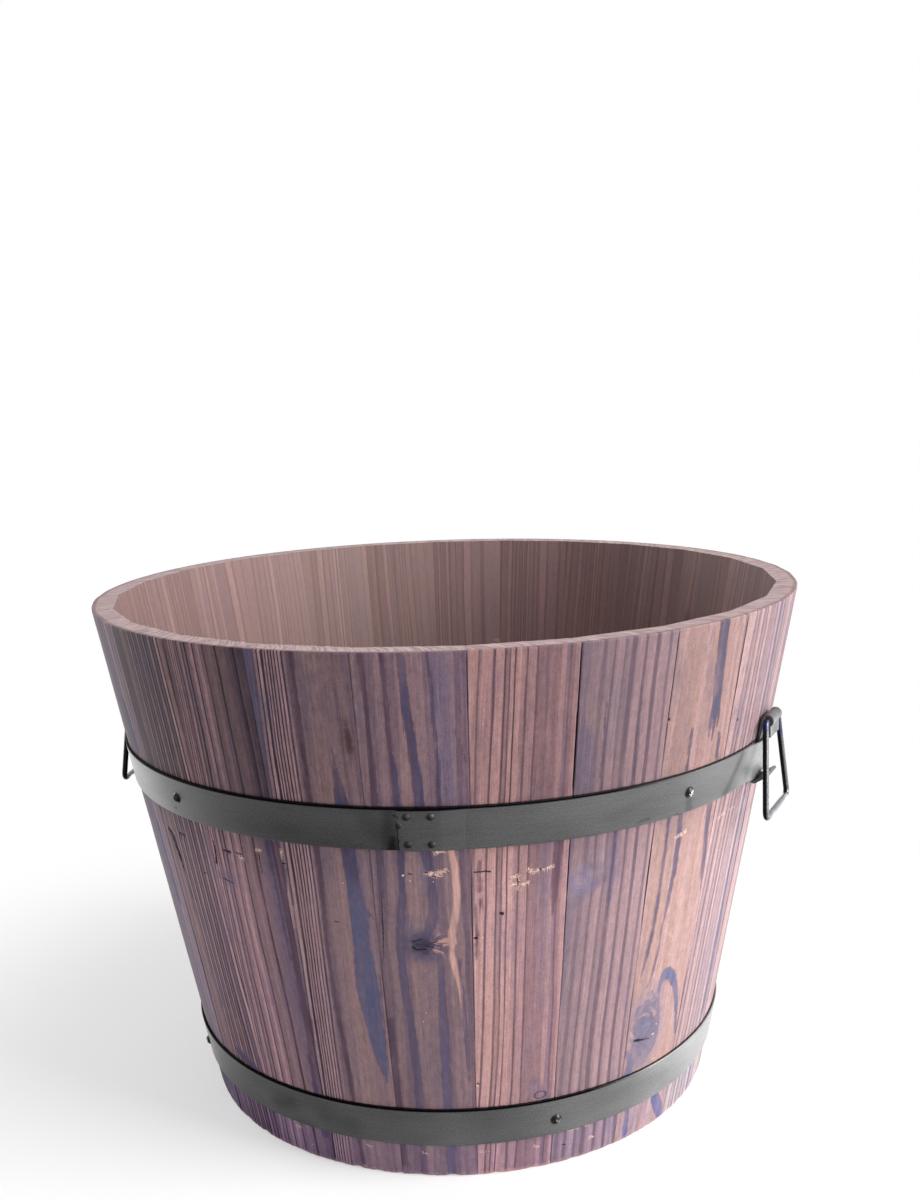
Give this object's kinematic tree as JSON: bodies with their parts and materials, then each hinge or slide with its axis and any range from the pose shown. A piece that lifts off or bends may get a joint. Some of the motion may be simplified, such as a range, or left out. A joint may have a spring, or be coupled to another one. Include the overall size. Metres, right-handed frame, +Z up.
{
  "type": "barrel planter",
  "caption": "Tapered wooden barrel planter of upright staves bound by two riveted steel hoops, with a boarded bottom, a drain hole and hanging bail handles.",
  "frame": {"origin": "centre of the foot circle, on the plane the staves stand on", "axes": "+Z up along the barrel's axis, -Y the front; the handles stand 80 degrees to either side of the front, +X towards the right handle"},
  "size_m": [0.4996, 0.4996, 0.356],
  "materials": {
    "stave_wood": "charred, weathered",
    "board_wood": "rough sawn",
    "dowel_wood": "plain",
    "hoop_steel": "dull, oxidised",
    "rivet_steel": "dull",
    "screw_steel": "black, satin",
    "rod_steel": "black, glossy"
  },
  "bodies": {
    "barrel": {"stave_01": "stave_wood", "stave_02": "stave_wood", "stave_03": "stave_wood", "stave_04": "stave_wood", "stave_05": "stave_wood", "stave_06": "stave_wood", "stave_07": "stave_wood", "stave_08": "stave_wood", "stave_09": "stave_wood", "stave_10": "stave_wood", "stave_11": "stave_wood", "stave_12": "stave_wood", "stave_13": "stave_wood", "stave_14": "stave_wood", "stave_15": "stave_wood", "stave_16": "stave_wood", "stave_17": "stave_wood", "stave_18": "stave_wood", "stave_19": "stave_wood", "stave_20": "stave_wood", "stave_21": "stave_wood", "stave_22": "stave_wood", "stave_23": "stave_wood", "stave_24": "stave_wood", "bottom_board_1": "board_wood", "bottom_board_2": "board_wood", "bottom_board_3": "board_wood", "bottom_board_4": "board_wood", "bottom_board_5": "board_wood", "bottom_dowels": "dowel_wood", "upper_hoop": "hoop_steel", "lower_hoop": "hoop_steel", "upper_hoop_rivets": "rivet_steel", "lower_hoop_rivets": "rivet_steel", "upper_hoop_screws": "screw_steel", "lower_hoop_screws": "screw_steel", "handle_bracket_right": "hoop_steel", "handle_bracket_left": "hoop_steel"},
    "right_handle": {"handle_right": "rod_steel"},
    "left_handle": {"handle_left": "rod_steel"}
  },
  "joints": [
    {"name": "right_handle_swing", "type": "hinge", "parent": "barrel", "child": "right_handle", "pos_m": [0.23597, -0.04161, 0.275], "axis": [-0.1736, -0.9848, 0], "range_deg": [-15.5, 166.5]},
    {"name": "left_handle_swing", "type": "hinge", "parent": "barrel", "child": "left_handle", "pos_m": [-0.23597, -0.04161, 0.275], "axis": [-0.1736, 0.9848, 0], "range_deg": [-15.5, 166.5]}
  ]
}
